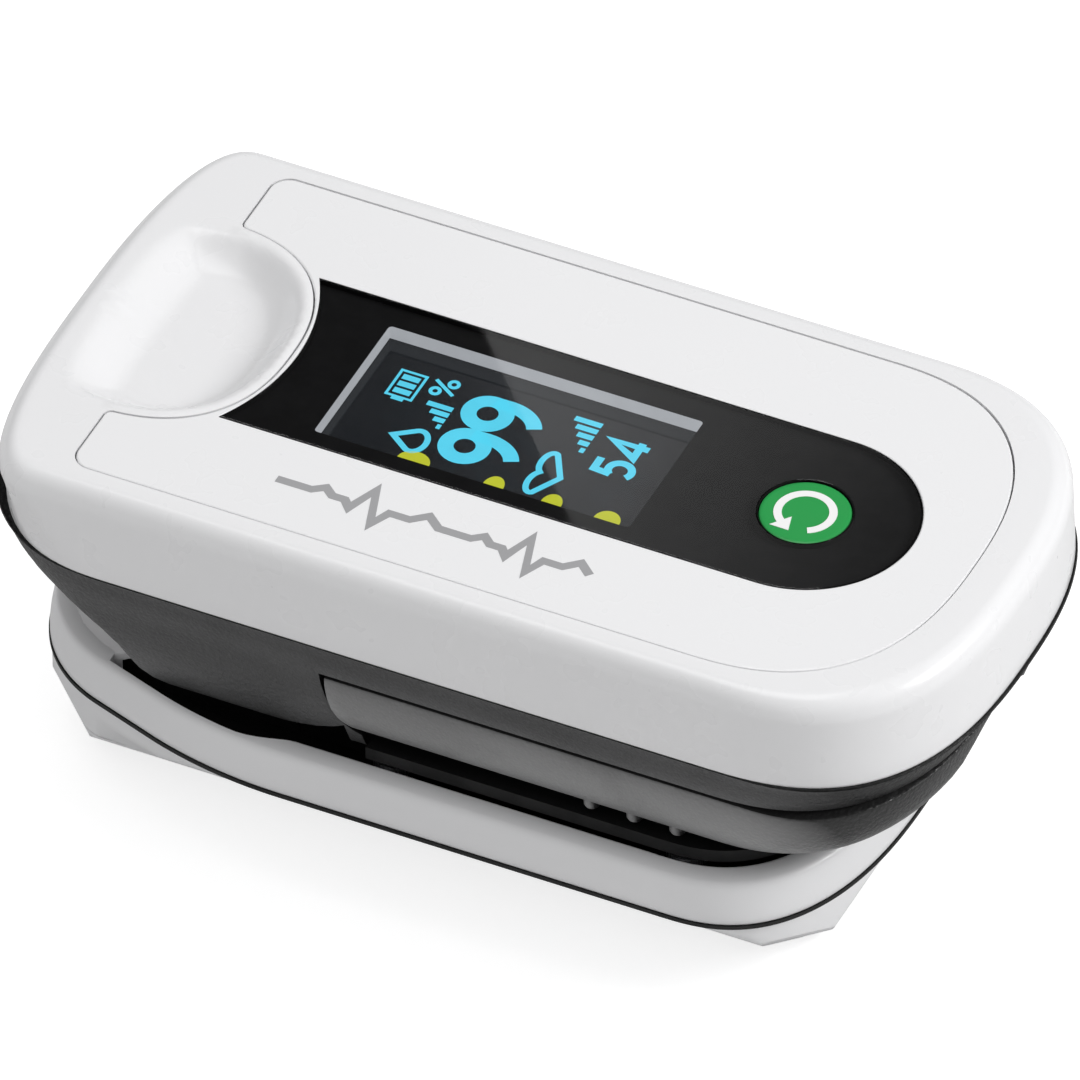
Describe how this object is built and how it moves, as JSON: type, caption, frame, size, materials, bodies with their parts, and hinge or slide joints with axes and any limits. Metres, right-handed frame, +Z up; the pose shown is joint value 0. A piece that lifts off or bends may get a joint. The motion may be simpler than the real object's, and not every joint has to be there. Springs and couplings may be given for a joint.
{
  "type": "fingertip pulse oximeter",
  "caption": "Clip-on fingertip pulse oximeter: two sprung arms on a rear hinge, padded finger channel, round button, recessed display and a battery bay in the lower arm.",
  "frame": {"origin": "rest face of the battery door, below the middle of the top cover's length and width", "axes": "+X towards the finger entry, +Y to the far side, +Z up from the rest face"},
  "size_m": [0.0624, 0.0324, 0.0265],
  "materials": {
    "cover_white": "satin gloss",
    "panel_white": "satin",
    "lens": "polished",
    "mask_black": "gloss",
    "button_green": "satin",
    "switch_grey": "matte",
    "switch_metal": "satin",
    "frame_silver": "satin",
    "oled": "polished",
    "board_green": "solder mask",
    "chip_black": "matte",
    "housing_charcoal": "fine spark texture",
    "jaw_grey": "fine spark texture",
    "pad_black": "matte",
    "window_red": "polished",
    "flex_amber": "satin",
    "screw_steel": "satin",
    "tray_white": "satin",
    "box_white": "matte",
    "led_gold": "polished",
    "cell_jacket": "satin",
    "contact_steel": "plated",
    "door_white": "matte",
    "pin_steel": "ground",
    "spring_steel": "drawn wire"
  },
  "bodies": {
    "lower_arm": {"lower_tray": "tray_white", "battery_box": "box_white", "lower_finger_pad": "pad_black", "led_window": "window_red", "led_board": "board_green", "led_emitters": "led_gold", "battery_left": "cell_jacket", "battery_right": "cell_jacket", "rear_contact_bridge": "contact_steel", "coil_contact": "contact_steel", "front_contacts": "contact_steel", "hinge_pin": "pin_steel", "torsion_springs": "spring_steel", "hinge_cable": "flex_amber", "lower_screws": "screw_steel"},
    "upper_arm": {"top_cover": "cover_white", "face_panel": "panel_white", "window_lens": "lens", "window_mask": "mask_black", "tact_switch": "switch_metal", "display_frame": "frame_silver", "oled_display": "oled", "main_board": "board_green", "board_chips": "chip_black", "upper_housing": "housing_charcoal", "jaw_frame": "jaw_grey", "upper_finger_pad": "pad_black", "sensor_window": "window_red", "photodiode_board": "board_green", "sensor_flex": "flex_amber", "upper_screws": "screw_steel"},
    "button": {"power_button": "button_green"},
    "plunger": {"switch_plunger": "switch_grey"},
    "door": {"battery_door": "door_white"}
  },
  "joints": [
    {"name": "jaw_hinge", "type": "hinge", "parent": "lower_arm", "child": "upper_arm", "pos_m": [-0.014, 0, 0.015], "axis": [0, -1, 0], "range_deg": [0, 14], "deforming": ["hinge_cable"]},
    {"name": "button_press", "type": "slide", "parent": "upper_arm", "child": "button", "axis": [0, 0, -1], "range_m": [0, 0.0004]},
    {"name": "plunger_press", "type": "slide", "parent": "upper_arm", "child": "plunger", "axis": [0, 0, -1], "range_m": [0, 0.0004]},
    {"name": "battery_door_slide", "type": "slide", "parent": "lower_arm", "child": "door", "axis": [-1, 0, 0], "range_m": [0, 0.01]}
  ],
  "couplings": [
    {"joint": "plunger_press", "follows": "button_press", "ratio": 1}
  ]
}
